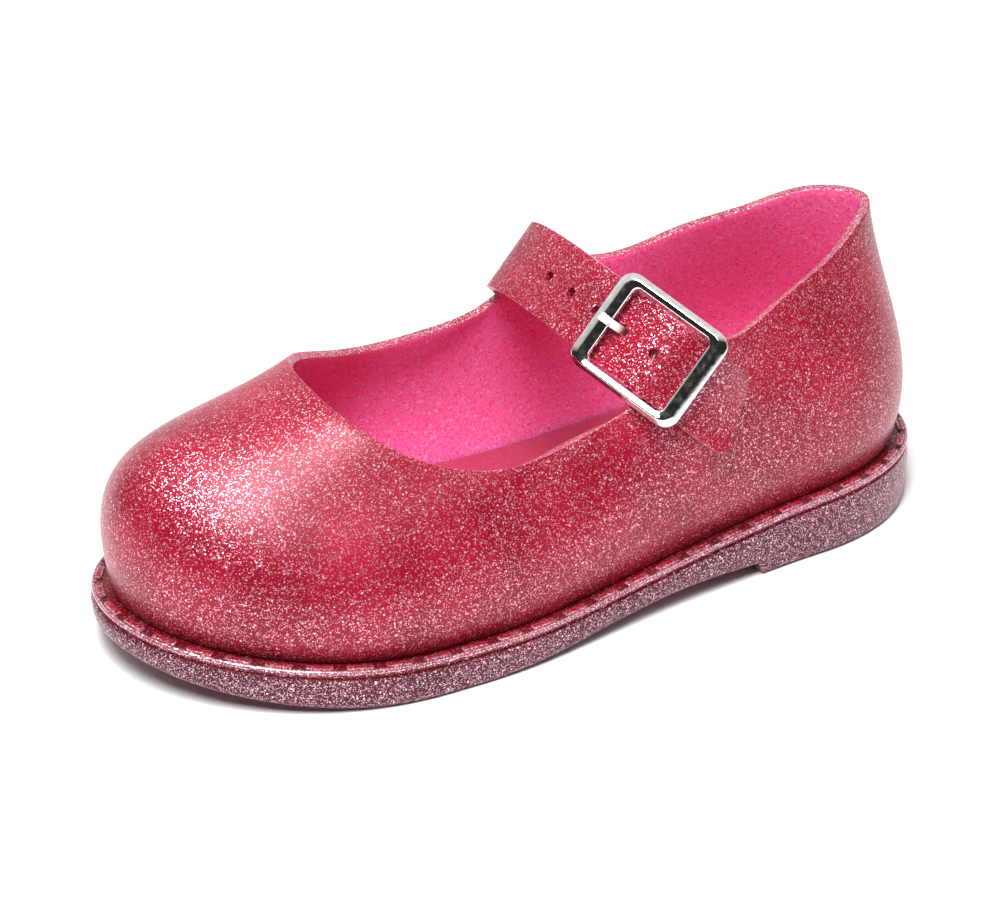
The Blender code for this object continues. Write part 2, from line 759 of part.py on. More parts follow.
def make_prong():
    """The prong: a ring on the centre bar, an arm under the strap, through its hole and over the front bar."""
    place, line, ring, middle, across = prong_route()
    prong, curve = flat_outline("buckle_prong", PRONG_WIDTH)
    half = PRONG_THICKNESS / 2
    upper_side = []
    lower_side = []
    for step, (x, z) in enumerate(line):
        before = line[max(step - 1, 0)]
        after = line[min(step + 1, len(line) - 1)]
        run = Vector((after[0] - before[0], after[1] - before[1])).normalized()
        upper_side.append((x + run.y * half, z - run.x * half))
        lower_side.append((x - run.y * half, z + run.x * half))
    outline_points = upper_side + lower_side[::-1]
    shape = curve.splines.new("POLY")
    shape.points.add(len(outline_points) - 1)
    for point, (x, z) in zip(shape.points, outline_points):
        point.co = (x, z, 0, 1)
    shape.use_cyclic_u = True
    bpy.context.view_layer.update()
    prong = as_mesh(prong)
    stand = Matrix(((1, 0, 0, 0), (0, 0, -1, 0), (0, 1, 0, 0), (0, 0, 0, 1)))
    prong.matrix_world = place @ stand
    centre = place @ middle
    ring_solid = rod("ring", centre - across * PRONG_WIDTH / 2, centre + across * PRONG_WIDTH / 2,
                     ring + PRONG_THICKNESS / 2)
    bore = rod("ring_bore", centre - across * PRONG_WIDTH, centre + across * PRONG_WIDTH,
               BAR_DIAMETER / 2 + GAP)
    bpy.context.view_layer.update()
    join_or_cut(prong, [ring_solid], "UNION")
    join_or_cut(prong, [bore], "DIFFERENCE")
    bpy.data.objects.remove(ring_solid, do_unlink=True)
    bpy.data.objects.remove(bore, do_unlink=True)
    return prong


def material(name, colour, roughness, metallic=0.0):
    made = bpy.data.materials.new(name)
    made.use_nodes = True
    shader = made.node_tree.nodes["Principled BSDF"]
    shader.inputs["Base Color"].default_value = (*colour, 1)
    shader.inputs["Roughness"].default_value = roughness
    shader.inputs["Metallic"].default_value = metallic
    return made


def finish(item, home, made):
    for old in list(item.users_collection):
        old.objects.unlink(item)
    home.objects.link(item)
    item.data.materials.clear()
    item.data.materials.append(made)
    item.data.shade_smooth()
    item.data.set_sharp_from_angle(angle=math.radians(35))


def main():
    clear_scene()
    home = bpy.data.collections.new("jelly_shoe")
    cutters = bpy.data.collections.new("cutters")
    bpy.context.scene.collection.children.link(home)
    bpy.context.scene.collection.children.link(cutters)
    jelly = material("jelly", (0.50, 0.02, 0.07), 0.25)
    sole_jelly = material("sole_jelly", (0.30, 0.05, 0.10), 0.3)
    lining = material("insole", (0.62, 0.06, 0.13), 0.35)
    frame_metal = material("frame_metal", (0.75, 0.74, 0.70), 0.12, 1.0)
    prong_metal = material("prong_metal", (0.75, 0.74, 0.70), 0.12, 1.0)
    finish(banded_solid("outsole", sole_section, sole_angles()), home, sole_jelly)
    finish(banded_solid("insole", insole_section, sole_angles()), home, lining)
    finish(make_upper(cutters), home, jelly)
    finish(make_frame(), home, frame_metal)
    finish(make_prong(), home, prong_metal)


main()
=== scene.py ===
"""Looks of a child's glitter jelly shoe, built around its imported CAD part.

The shapes come from the part's own named sizes and formulas, with finer counts, rounded cut edges and the
moulded stitches of the welt. Frame: +X towards the toe, +Y towards the outer side, +Z up, in metres.
"""

import math

import bmesh
import bpy
import numpy as np
from mathutils import Matrix, Vector


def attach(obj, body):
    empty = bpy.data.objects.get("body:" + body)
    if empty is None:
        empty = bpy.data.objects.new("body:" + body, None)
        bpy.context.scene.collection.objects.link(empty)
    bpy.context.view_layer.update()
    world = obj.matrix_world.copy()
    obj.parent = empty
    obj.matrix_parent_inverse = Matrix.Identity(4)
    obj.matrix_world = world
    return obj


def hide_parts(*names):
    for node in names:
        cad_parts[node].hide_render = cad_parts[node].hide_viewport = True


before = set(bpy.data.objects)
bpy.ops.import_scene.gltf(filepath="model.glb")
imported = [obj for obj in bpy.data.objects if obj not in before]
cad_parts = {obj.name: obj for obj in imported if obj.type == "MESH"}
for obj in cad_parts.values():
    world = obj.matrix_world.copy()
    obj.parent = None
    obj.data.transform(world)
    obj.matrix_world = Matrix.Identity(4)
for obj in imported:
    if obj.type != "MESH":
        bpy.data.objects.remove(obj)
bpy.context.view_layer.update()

# Sole
SOLE_LENGTH = 0.170
BALL_WIDTH = 0.0722
HEEL_WIDTH = 0.0560
HEEL_ROUND = 0.034
TOE_ROUND = 0.051
TOE_SWING = 0.00465
TOE_SPRING = 0.0062
ARCH_LIFT = 0.0031
BREAST_DRAFT = 0.0010
FOREFOOT_SIDE = 0.0080
HEEL_SIDE = 0.0129
WELT_LEDGE = 0.0038
WELT_DIP = 0.0007
RIM_WIDTH = 0.0021
RIM_HEIGHT = 0.0010
RIM_ROUND = 0.0006
GROOVE_DEPTH = 0.0006
GROOVE_HEIGHT = 0.0009
SIDE_CROWN = 0.0004
EDGE_ROUND = 0.0012

# Upper and insole
WALL = 0.0018
COLLAR_HEIGHT = 0.0597
BULGE = 0.0060
INSOLE_THICKNESS = 0.0016
GAP = 0.0003

# Strap and tab
STRAP_TIP_ROUND = 0.0022
STRAP_ROOT_FRONT = 0.0110
STRAP_ROOT_REAR = 0.0015
HOLE_DIAMETER = 0.0019
PRONG_HOLE_DIAMETER = 0.0026
HOLE_PITCH = 0.0073
HOLES_BEFORE_PRONG = 3
HOLES_AFTER_PRONG = 1

# Buckle
BUCKLE_STATION = 0.0624
PRONG_REACH = 0.0063
FRAME_LENGTH = 0.0240
FRAME_WIDTH = 0.0204
END_BAR = 0.0034
SIDE_BAR = 0.0022
FRAME_THICKNESS = 0.0020
FRAME_CORNER = 0.0030
FRAME_LIFT = 0.0014
STRAP_PLAY = 0.0004
STRAP_WIDTH = FRAME_WIDTH - 2 * (SIDE_BAR + STRAP_PLAY)
BAR_DIAMETER = 0.0014
HOOK_TURN = 210
TAB_REACH = 1.4
PRONG_SLOT = 0.0020
PRONG_WIDTH = 0.0015
PRONG_THICKNESS = 0.0008
PRONG_START = 120

# Counts of faces
SIDE_COLUMNS = 108
WALL_ROWS = 30
STRAP_COLUMNS = 21
STRAP_ROWS = 110
ROUND_SIDES = 36
HOOK_STEPS = 21
CORNER_STEPS = 8
STITCH_RINGS = 5
OUTLINE_POINTS = 721

# Bottom outline: how far each section is from heel width (0) to ball width (1), and its sideways swing
SOLE_STATIONS = (
    # length, widening, swing
    (-0.50, 0.00, 0.44),
    (-0.40, 0.00, 0.45),
    (-0.30, 0.00, 0.46),
    (-0.20, 0.10, 0.33),
    (-0.10, 0.25, 0.17),
    (0.00, 0.51, 0.02),
    (0.10, 0.85, 0.05),
    (0.20, 1.00, 0.22),
    (0.30, 1.00, 0.32),
    (0.40, 1.00, 0.64),
    (0.50, 1.00, 1.00),
)

# Height of the rim, from the forefoot's side height (0) to the heel's (1), on top of the toe spring
RIM_STATIONS = (
    # length, height
    (-0.50, 0.88),
    (-0.40, 1.03),
    (-0.30, 0.92),
    (-0.20, 0.67),
    (-0.10, 0.36),
    (0.00, 0.10),
    (0.10, -0.02),
    (0.20, 0.00),
    (0.30, 0.03),
    (0.40, -0.10),
    (0.50, -0.40),
)

# Underside between the heel's front face and the ball, as shares of the arch lift
HEEL_BREAST = -0.2195
BALL_REST = (0.15, 0.22)
ARCH_STATIONS = (
    # length, lift
    (-0.22, 0.75),
    (-0.13, 1.00),
    (0.00, 0.65),
    (0.09, 0.18),
    (0.15, 0.00),
)

# Edge of the throat from the strap's root round the toe to the tab, in shares of length, half width and
# collar height. Foot is the angle round the sole of the wall below: heel 0, outer side 90, toe 180.
THROAT_STATIONS = (
    # foot, length, side, height
    (258.0, -0.025, -0.740, 0.688),
    (248.0, 0.034, -0.748, 0.655),
    (234.0, 0.100, -0.762, 0.642),
    (217.0, 0.170, -0.676, 0.686),
    (201.0, 0.225, -0.521, 0.757),
    (180.0, 0.259, -0.060, 0.810),
    (159.0, 0.225, 0.414, 0.724),
    (143.0, 0.170, 0.585, 0.643),
    (126.0, 0.100, 0.688, 0.610),
    (111.0, 0.027, 0.670, 0.625),
    (98.0, -0.0393, 0.611, 0.655),
)

# Edge of the collar from the tab round the heel to the strap's root, in the same shares
COLLAR_STATIONS = (
    # foot, length, side, height
    (63.0, -0.180, 0.600, 0.826),
    (52.0, -0.270, 0.466, 0.868),
    (34.0, -0.350, 0.345, 0.930),
    (18.0, -0.410, 0.203, 0.988),
    (0.0, -0.4524, -0.057, 1.000),
    (-18.0, -0.410, -0.317, 0.988),
    (-34.0, -0.350, -0.450, 0.930),
    (-52.0, -0.270, -0.580, 0.864),
    (-65.0, -0.185, -0.680, 0.796),
)
TAB_FOOT = (89.0, 72.0)
STRAP_FOOT = (266.0, 286.0)

# Shape of the wall between sole and topline: bulge of its foot and where its shoulder lies
WALL_STATIONS = (
    # foot, bulge, rise, reach, drop
    (-180.0, 1.22, 1.00, 0.50, 0.20),
    (-135.0, 1.10, 0.67, 0.56, 0.32),
    (-90.0, 0.60, 0.40, 0.40, 0.30),
    (-45.0, 0.80, 0.34, 0.50, 0.36),
    (0.0, 1.05, 0.36, 0.45, 0.36),
    (45.0, 0.90, 0.40, 0.80, 0.34),
    (68.0, 0.80, 0.42, 0.70, 0.34),
    (90.0, 0.70, 0.40, 0.50, 0.36),
    (135.0, 1.10, 0.52, 0.56, 0.16),
    (180.0, 1.22, 1.00, 0.50, 0.20),
)

# Middle of the strap from its root on the inner side over the instep to its free tip
STRAP_PATH = (
    # length, side, height
    (-0.126, -0.740, 0.680),
    (-0.101, -0.730, 0.754),
    (-0.069, -0.700, 0.848),
    (-0.059, -0.538, 0.894),
    (-0.057, -0.205, 0.917),
    (-0.0675, 0.260, 0.894),
    (-0.1052, 0.698, 0.7965),
    (-0.174, 0.758, 0.597),
)
STRAP_ACROSS = Vector((-0.65, 0.01, 0.76)).normalized()
STRAP_TWIST = math.radians(24)

# Edges: the angles in degrees from which they are rounded or kept sharp, and their widths
EDGE_ANGLE = 40
CUT_EDGE_ANGLE = 55
UPPER_SMOOTHING = 50
CUT_EDGE_ROUND = 0.0004
PRONG_ROUND = PRONG_THICKNESS * 0.35

# How far in the middle of the insole's rounded corner lies, as a share of the corner
INSOLE_CORNER = 0.3

# Stitches on the welt: distances from the sole's edge and from the rim's top, and how level a top is
STITCH_LENGTH = 0.0050
STITCH_PITCH = 0.0074
STITCH_OUTER = 0.0007
STITCH_INNER = 0.0021
STITCH_RISE = 0.00025
STITCH_DEPTH = 0.0006
STITCH_EDGE = 0.00028
STITCH_FLAT = 0.95

# Places in the lists of materials, and the strips of the sole's section that are bead and groove: the bead's
# strips get a painted highlight, the groove's strips painted shade
# the inside's material is painted bright: painted light through the wall
INSIDE_PLACE = 1
# the cut edges' material is painted paler: painted highlight
CUT_HIGHLIGHT_PLACE = 2
HIGHLIGHT_BEAD_PLACE = 1
SHADED_GROOVE_PLACE = 2
TOP_PLACE = 1
# the rounded top of the rim bead takes the bead's pale colour: painted highlight
HIGHLIGHT_BEAD_STRIPS = (4, 5, 6)
# the groove under the bead, and the ledge under and beside the upper (strips 0 and 1), take the darker
# groove colour: painted shade
SHADED_GROOVE_STRIPS = (0, 1, 8, 9, 10)

# Section of the frame's bars, from the inner edge over the ridge to the outer edge and back underneath, as
# shares of the bar's width and of half its thickness
FRAME_SECTION = (
    # reach, rise
    (0.00, -0.80),
    (0.00, 0.40),
    (0.03, 0.68),
    (0.09, 0.82),
    (0.16, 0.87),
    (0.46, 0.98),
    (0.53, 1.00),
    (0.60, 0.95),
    (0.67, 0.84),
    (0.92, 0.36),
    (0.98, 0.20),
    (1.00, 0.00),
    (1.00, -0.70),
    (0.93, -1.00),
    (0.07, -1.00),
)

# Camera, as the photograph has it
CAMERA_PLACE = (0.24547, 0.44229, 0.30369)
CAMERA_RIGHT = (-0.8785, 0.4778, 0.0)
CAMERA_UP = (-0.2327, -0.4278, 0.8734)
CAMERA_BACK = (0.41730, 0.76726, 0.48700)
CAMERA_LENS = 109.908
SENSOR_WIDTH = 36.0

# Glitter: edge of a fleck as a share of its cell, glint cells against fleck cells, and what scatters red
FLECK_EDGE = (0.45, 0.68)
GLINT_CELL = 1.7
MOTTLE = (0.35, 0.65)
RED_SCATTER = (1.0, 0.22, 0.30)
GLOSS_TINT = (1.0, 0.55, 0.65, 1)

# Studio: the floor, the sky by how far a direction leans to its bright side, and the lamps
FLOOR_SIZE = 8
FLOOR_TONE = (0.93, 0.93, 0.93, 1)
SKY_SIDE = (-0.287, -0.527, 0.80)
SKY_LEAN = (0.22, 0.56)
SKY_DARK = (0.03, 0.03, 0.03)
SKY_BRIGHT = (1.0, 1.0, 1.0)
SKY_STRENGTH = 0.82
LAMPS = (
    # name, place, target, width, height, power
    ("key", (0.22, 0.22, 0.72), (0.05, 0.01, 0.03), 0.28, 0.54, 9.0),
    ("side", (-0.55, 0.35, 0.35), (-0.03, 0.0, 0.03), 0.30, 0.45, 0.15),
)


def spline(knots, values, at):
    """Natural cubic spline through values at knots, read at one place or at many."""
    knots = np.asarray(knots, float)
    values = np.asarray(values, float)
    count = len(knots)
    step = np.diff(knots)
    slope = np.diff(values, axis=0) / (step[:, None] if values.ndim > 1 else step)
    matrix = np.eye(count)
    right = np.zeros_like(values)
    for row in range(1, count - 1):
        matrix[row, row - 1] = step[row - 1]
        matrix[row, row] = 2 * (step[row - 1] + step[row])
        matrix[row, row + 1] = step[row]
        right[row] = 3 * (slope[row] - slope[row - 1])
    bend = np.linalg.solve(matrix, right)
    at = np.asarray(at, float)
    cell = np.clip(np.searchsorted(knots, at) - 1, 0, count - 2)
    run = at - knots[cell]
    width = step[cell]
    if values.ndim > 1:
        run = run[..., None]
        width = width[..., None]
    start = slope[cell] - width * (2 * bend[cell] + bend[cell + 1]) / 3
    cubic = (bend[cell + 1] - bend[cell]) / (3 * width)
    return values[cell] + start * run + bend[cell] * run ** 2 + cubic * run ** 3


def column(table, place):
    return [row[place] for row in table]


def in_shares(row):
    """A table row's length, side and height shares as a point."""
    return np.array((row[0] * SOLE_LENGTH, row[1] * BALL_WIDTH / 2, row[2] * COLLAR_HEIGHT))


def end_rounding(share):
    """How much of the full width is left near the heel and toe ends of the outline."""
    from_heel = (share + 0.5) * SOLE_LENGTH / HEEL_ROUND
    from_toe = (0.5 - share) * SOLE_LENGTH / TOE_ROUND
    near = min(from_heel, from_toe, 1.0)
    return math.sqrt(max(0.0, 1 - (1 - near) ** 2))


def raw_outline(angle):
    """The sole's edge at an angle round the foot, before it is centred across."""
    share = -0.5 * math.cos(math.radians(angle))
    widening = spline(column(SOLE_STATIONS, 0), column(SOLE_STATIONS, 1), share)
    swing = spline(column(SOLE_STATIONS, 0), column(SOLE_STATIONS, 2), share)
    half = (HEEL_WIDTH + (BALL_WIDTH - HEEL_WIDTH) * widening) / 2 * end_rounding(share)
    outer = 1 if math.sin(math.radians(angle)) >= 0 else -1
    return np.array((share * SOLE_LENGTH, outer * half - TOE_SWING * swing))


def outline_centre():
    sides = [raw_outline(angle)[1] for angle in range(0, 360, 3)]
    return (max(sides) + min(sides)) / 2


OUTLINE_CENTRE = outline_centre()


def outline(angle, outward=0.0):
    """A point of the sole's edge, moved outward along the edge's normal."""
    step = 1.5
    here = raw_outline(angle)
    along = raw_outline(angle + step) - raw_outline(angle - step)
    along /= np.linalg.norm(along)
    normal = np.array((-along[1], along[0]))
    here = here + normal * outward
    return np.array((here[0], here[1] - OUTLINE_CENTRE)), normal


def sole_share(angle):
    return -0.5 * math.cos(math.radians(angle))


def underside(share):
    """Height of the sole's underside: heel flat, arch, ball flat, toe spring."""
    breast_top = HEEL_BREAST + BREAST_DRAFT / SOLE_LENGTH
    if share <= HEEL_BREAST + 1e-6:
        return 0.0
    if share < BALL_REST[0]:
        lift = ARCH_LIFT * float(spline(column(ARCH_STATIONS, 0), column(ARCH_STATIONS, 1), share))
        return max(0.0, lift) * min(1.0, (share - HEEL_BREAST) / (breast_top - HEEL_BREAST))
    if share <= BALL_REST[1]:
        return 0.0
    return TOE_SPRING * ((share - BALL_REST[1]) / (0.5 - BALL_REST[1])) ** 2


def rim_top(share):
    """Height of the welt's outer rim."""
    height = float(spline(column(RIM_STATIONS, 0), column(RIM_STATIONS, 1), share))
    spring = underside(share) if share > BALL_REST[1] else 0.0
    return FOREFOOT_SIDE + (HEEL_SIDE - FOREFOOT_SIDE) * height + spring


def footbed(share):
    """Height of the sole's top inside the rim, on which upper and insole stand."""
    return rim_top(share) - WELT_DIP


def sole_angles():
    """Angles of the columns on the outer side, with two of them at the heel's front face."""
    angles = [180 * step / SIDE_COLUMNS for step in range(1, SIDE_COLUMNS)]
    places = (HEEL_BREAST, HEEL_BREAST + BREAST_DRAFT / SOLE_LENGTH, BALL_REST[0], BALL_REST[1])
    for place in places:
        exact = math.degrees(math.acos(-2 * place))
        spare = min(angles, key=lambda angle: abs(angle - exact))
        angles[angles.index(spare)] = exact
    return sorted(angles)


def arc(centre_out, centre_up, radius, start, stop, steps):
    """Points of a round edge in a section: outward and upward."""
    points = []
    for step in range(steps + 1):
        angle = math.radians(start + (stop - start) * step / steps)
        points.append((centre_out + radius * math.cos(angle), centre_up + radius * math.sin(angle)))
    return points


def sole_section(share):
    """Rows of the sole's section from the footbed's edge over the rim and down to the floor."""
    top = rim_top(share)
    low = underside(share)
    rim_low = top - RIM_HEIGHT
    side_top = rim_low - GROOVE_HEIGHT
    side = side_top - low - EDGE_ROUND
    rows = [(-WELT_LEDGE - WALL, top - WELT_DIP), (-WELT_LEDGE, top - WELT_DIP)]
    rows += [(-RIM_WIDTH, top - WELT_DIP)]
    rows += arc(-RIM_ROUND, top - RIM_ROUND, RIM_ROUND, 110, 0, 4)
    rows += [(-RIM_ROUND / 4, rim_low), (-GROOVE_DEPTH, rim_low - GROOVE_HEIGHT / 4)]
    rows += [(-GROOVE_DEPTH, side_top + GROOVE_HEIGHT / 4), (-SIDE_CROWN / 2, side_top)]
    rows += [(SIDE_CROWN / 2, side_top - side / 3), (0, side_top - side * 3 / 4)]
    rows += arc(-EDGE_ROUND, low + EDGE_ROUND, EDGE_ROUND, 0, -90, 3)
    return rows


def banded_solid(name, section, angles):
    """A closed solid lofted round the outline: one ring for each row, strips across the first and last."""
    sides = [0.0] + angles + [180.0] + [360 - angle for angle in reversed(angles)]
    mesh = bmesh.new()
    rings = []
    for angle in sides:
        ring = []
        for outward, height in section(sole_share(angle)):
            point, _ = outline(angle, outward)
            ring.append(mesh.verts.new((point[0], point[1], height)))
        rings.append(ring)
    count = len(rings)
    rows = len(rings[0])
    for place in range(count):
        here = rings[place]
        ahead = rings[(place + 1) % count]
        for row in range(rows - 1):
            mesh.faces.new((here[row], here[row + 1], ahead[row + 1], ahead[row]))
    for row in (0, rows - 1):
        half = count // 2
        for step in range(half):
            quad = [rings[step][row], rings[step + 1][row]]
            quad += [rings[(count - step - 1) % count][row], rings[(count - step) % count][row]]
            face = []
            for vert in quad:
                if vert not in face:
                    face.append(vert)
            mesh.faces.new(face)
    bmesh.ops.recalc_face_normals(mesh, faces=mesh.faces)
    return finished(name, mesh)


def finished(name, mesh):
    data = bpy.data.meshes.new(name)
    mesh.to_mesh(data)
    mesh.free()
    item = bpy.data.objects.new(name, data)
    bpy.context.scene.collection.objects.link(item)
    return item


def strap_curve(count=400):
    """Points of the strap's middle line, with their distance from its start."""
    knots = np.array([in_shares(row) for row in STRAP_PATH])
    chord = np.r_[0, np.cumsum(np.linalg.norm(np.diff(knots, axis=0), axis=1))]
    points = spline(chord, knots, np.linspace(0, chord[-1], count))
    run = np.r_[0, np.cumsum(np.linalg.norm(np.diff(points, axis=0), axis=1))]
    return points, run


STRAP_POINTS, STRAP_RUN = strap_curve()
STRAP_LENGTH = float(STRAP_RUN[-1])


def strap_frame(station):
    """Place, direction, width direction and outward normal of the strap's middle at a distance along it."""
    def place(run):
        return Vector([float(np.interp(run, STRAP_RUN, STRAP_POINTS[:, axis])) for axis in range(3)])
    step = STRAP_LENGTH / 150
    ahead = place(min(station + step, STRAP_LENGTH))
    behind = place(max(station - step, 0.0))
    along = (ahead - behind).normalized()
    normal = along.cross(STRAP_ACROSS).normalized()
    frame_end = BUCKLE_STATION + FRAME_LENGTH / 2
    past_buckle = max(0.0, (station - frame_end) / (STRAP_LENGTH - frame_end))
    turn = Matrix.Rotation(-STRAP_TWIST * past_buckle, 3, along)
    return place(station), along, turn @ STRAP_ACROSS, turn @ normal


def strap_point(station, across, lift):
    """A point on the strap: distance along it, share of its half width, and height over its middle."""
    place, _, width, normal = strap_frame(station)
    return place + width * (across * STRAP_WIDTH / 2) + normal * lift


HOOK_STEP = math.radians(HOOK_TURN / HOOK_STEPS)
HOOK_RADIUS = (BAR_DIAMETER / 2 + GAP + WALL) / math.cos(HOOK_STEP / 2)
TAB_LIFT = -WALL / 2 - GAP
TAB_ROOT = BUCKLE_STATION + TAB_REACH * HOOK_RADIUS
STRAP_ROOTS = (STRAP_ROOT_FRONT, STRAP_ROOT_REAR)
TAB_ROOTS = (TAB_ROOT, TAB_ROOT)


def root_station(roots, share):
    """Distance along the strap at which it, or the tab, leaves the wall: front (-1) to rear corner (1)."""
    return roots[0] + (roots[1] - roots[0]) * (share + 1) / 2


def root_line(roots, lift, share):
    """The line where strap or tab leaves the wall."""
    return np.array(strap_point(root_station(roots, share), share, lift))


def topline_stations(table, first, last):
    """Foot angles and points of one open edge, with the root corners at both ends."""
    angles = [first[0]] + column(table, 0) + [last[0]]
    points = [first[1]] + [in_shares(row[1:]) for row in table] + [last[1]]
    return angles, np.array(points)


def wall_columns():
    """Foot angle and topline point of each column of the upper, once round from the tab's front corner."""
    tab_front = root_line(TAB_ROOTS, TAB_LIFT, -1)
    tab_rear = root_line(TAB_ROOTS, TAB_LIFT, 1)
    strap_front = root_line(STRAP_ROOTS, WALL / 2, -1)
    strap_rear = root_line(STRAP_ROOTS, WALL / 2, 1)
    columns = []

    def edge(table, first, last, count):
        angles, points = topline_stations(table, first, last)
        run = np.r_[0, np.cumsum(np.linalg.norm(np.diff(points, axis=0), axis=1))]
        for step in range(count):
            at = run[-1] * step / count
            columns.append((float(np.interp(at, run, angles)), spline(run, points, at), None))

    def root(roots, lift, feet, start, kind):
        for step in range(STRAP_COLUMNS):
            share = start - 2 * start * step / STRAP_COLUMNS
            foot = feet[0] + (feet[1] - feet[0]) * step / STRAP_COLUMNS
            columns.append((foot, root_line(roots, lift, share), kind))

    root(TAB_ROOTS, TAB_LIFT, TAB_FOOT, -1, "tab")
    rear = (TAB_FOOT[1], tab_rear)
    behind = (STRAP_FOOT[1] - 360, strap_rear)
    edge(COLLAR_STATIONS, rear, behind, 2 * SIDE_COLUMNS // 3)
    feet = (STRAP_FOOT[1] - 360, STRAP_FOOT[0] - 360)
    root(STRAP_ROOTS, WALL / 2, feet, 1, "strap")
    throat = [(row[0] - 360,) + tuple(row[1:]) for row in THROAT_STATIONS]
    front = (STRAP_FOOT[0] - 360, strap_front)
    edge(throat, front, (TAB_FOOT[0] - 360, tab_front), SIDE_COLUMNS)
    return columns


def meridian(foot, top, share):
    """A point of the wall's outside, from the sole (0) to the topline (1)."""
    turn = (foot + 180) % 360 - 180
    low, normal = outline(turn, -WELT_LEDGE)
    base = np.array((low[0], low[1], footbed(sole_share(turn)) + GAP))
    out = np.array((normal[0], normal[1], 0.0))
    angles = column(WALL_STATIONS, 0)
    bulge, rise, reach, drop = [spline(angles, column(WALL_STATIONS, place), turn) for place in range(1, 5)]
    height = top[2] - base[2]
    up = np.array((0, 0, 1.0))
    level = (base - top) * np.array((1, 1, 0))
    first = base + out * BULGE * bulge + up * height * rise
    second = top + level * reach - up * height * drop
    rest = 1 - share
    low_part = rest ** 3 * base + 3 * rest ** 2 * share * first
    return low_part + 3 * rest * share ** 2 * second + share ** 3 * top


def strap_half_width(station):
    """Share of the full half width near the rounded tip."""
    left = STRAP_LENGTH - station
    if left >= STRAP_TIP_ROUND:
        return 1.0
    cut = STRAP_TIP_ROUND - math.sqrt(max(0.0, STRAP_TIP_ROUND ** 2 - (STRAP_TIP_ROUND - left) ** 2))
    return 1.0 - cut / (STRAP_WIDTH / 2)


def strap_rows():
    """Rows of the strap as shares of its way from root to tip, closer together over the rounded tip."""
    middle = root_station(STRAP_ROOTS, 0)
    straight = 1 - STRAP_TIP_ROUND / (STRAP_LENGTH - middle)
    rows = [straight * step / STRAP_ROWS for step in range(1, STRAP_ROWS + 1)]
    rows += [straight + (1 - straight) * math.sin(math.radians(turn)) for turn in (30, 60, 90)]
    return rows


def bar_centre():
    """Middle of the buckle's centre bar, under the strap and inside the tab's hook."""
    return strap_point(BUCKLE_STATION, 0, TAB_LIFT - HOOK_RADIUS)


def upper_sheet():
    """The outside of the upper as one open sheet: wall, strap and tab."""
    mesh = bmesh.new()
    columns = wall_columns()
    grid = []
    for foot, top, _ in columns:
        rows = []
        for row in range(WALL_ROWS + 1):
            rows.append(mesh.verts.new(meridian(foot, top, row / WALL_ROWS)))
        grid.append(rows)
    count = len(grid)
    for place in range(count):
        here = grid[place]
        ahead = grid[(place + 1) % count]
        for row in range(WALL_ROWS):
            mesh.faces.new((here[row], here[row + 1], ahead[row + 1], ahead[row]))

    pitch = STRAP_WIDTH / STRAP_COLUMNS
    slot = []
    for place in range(STRAP_COLUMNS):
        if abs(place + 0.5 - STRAP_COLUMNS / 2) * pitch < PRONG_SLOT / 2:
            slot.append(place)

    def band(kind, roots, end, ways, lift, start, slotted):
        """Rows of strap or tab from its root, the last one slotted or not; gives back that row."""
        first = [place for place, item in enumerate(columns) if item[2] == kind][0]
        behind = [grid[(first + step) % count][WALL_ROWS] for step in range(STRAP_COLUMNS + 1)]
        shares = [start - 2 * start * step / STRAP_COLUMNS for step in range(STRAP_COLUMNS + 1)]
        for way in ways:
            row = []
            for share in shares:
                leave = root_station(roots, share)
                station = leave + (end - leave) * way
                half = strap_half_width(station)
                row.append(mesh.verts.new(strap_point(station, share * half, lift)))
            for step in range(STRAP_COLUMNS):
                if not (slotted and way == ways[-1] and step in slot):
                    mesh.faces.new((behind[step], row[step], row[step + 1], behind[step + 1]))
            behind = row
        return behind

    band("strap", STRAP_ROOTS, STRAP_LENGTH, strap_rows(), WALL / 2, 1, False)
    behind = band("tab", TAB_ROOTS, BUCKLE_STATION, (0.4, 1.0), TAB_LIFT, -1, True)
    middle = bar_centre()
    _, along, _, normal = strap_frame(BUCKLE_STATION)
    for step in range(1, HOOK_STEPS + 1):
        angle = HOOK_STEP * step
        swing = normal * (HOOK_RADIUS * math.cos(angle)) - along * (HOOK_RADIUS * math.sin(angle))
        row = []
        for place in range(STRAP_COLUMNS + 1):
            across = (2 * place / STRAP_COLUMNS - 1) * STRAP_WIDTH / 2
            row.append(mesh.verts.new(middle + swing + STRAP_ACROSS * across))
        for place in range(STRAP_COLUMNS):
            if place not in slot:
                mesh.faces.new((behind[place], row[place], row[place + 1], behind[place + 1]))
        behind = row
    bmesh.ops.recalc_face_normals(mesh, faces=mesh.faces)
    return finished("upper", mesh)


def apply_modifiers(item):
    """Replace an object's mesh by the mesh that its modifiers make."""
    graph = bpy.context.evaluated_depsgraph_get()
    data = bpy.data.meshes.new_from_object(item.evaluated_get(graph))
    item.modifiers.clear()
    item.data = data


def as_mesh(item):
    """A curve as a mesh object with welded caps."""
    graph = bpy.context.evaluated_depsgraph_get()
    data = bpy.data.meshes.new_from_object(item.evaluated_get(graph))
    mesh = bmesh.new()
    mesh.from_mesh(data)
    bmesh.ops.remove_doubles(mesh, verts=mesh.verts, dist=0.00001)
    mesh.to_mesh(data)
    mesh.free()
    copy = bpy.data.objects.new(item.name, data)
    copy.matrix_world = item.matrix_world.copy()
    name = item.name
    bpy.data.objects.remove(item, do_unlink=True)
    copy.name = name
    bpy.context.scene.collection.objects.link(copy)
    return copy


def frame_matrix(place, along, across, normal):
    """A matrix whose X runs along, Y across and Z outward."""
    turn = Matrix((along, across, normal)).transposed().to_4x4()
    return Matrix.Translation(place) @ turn


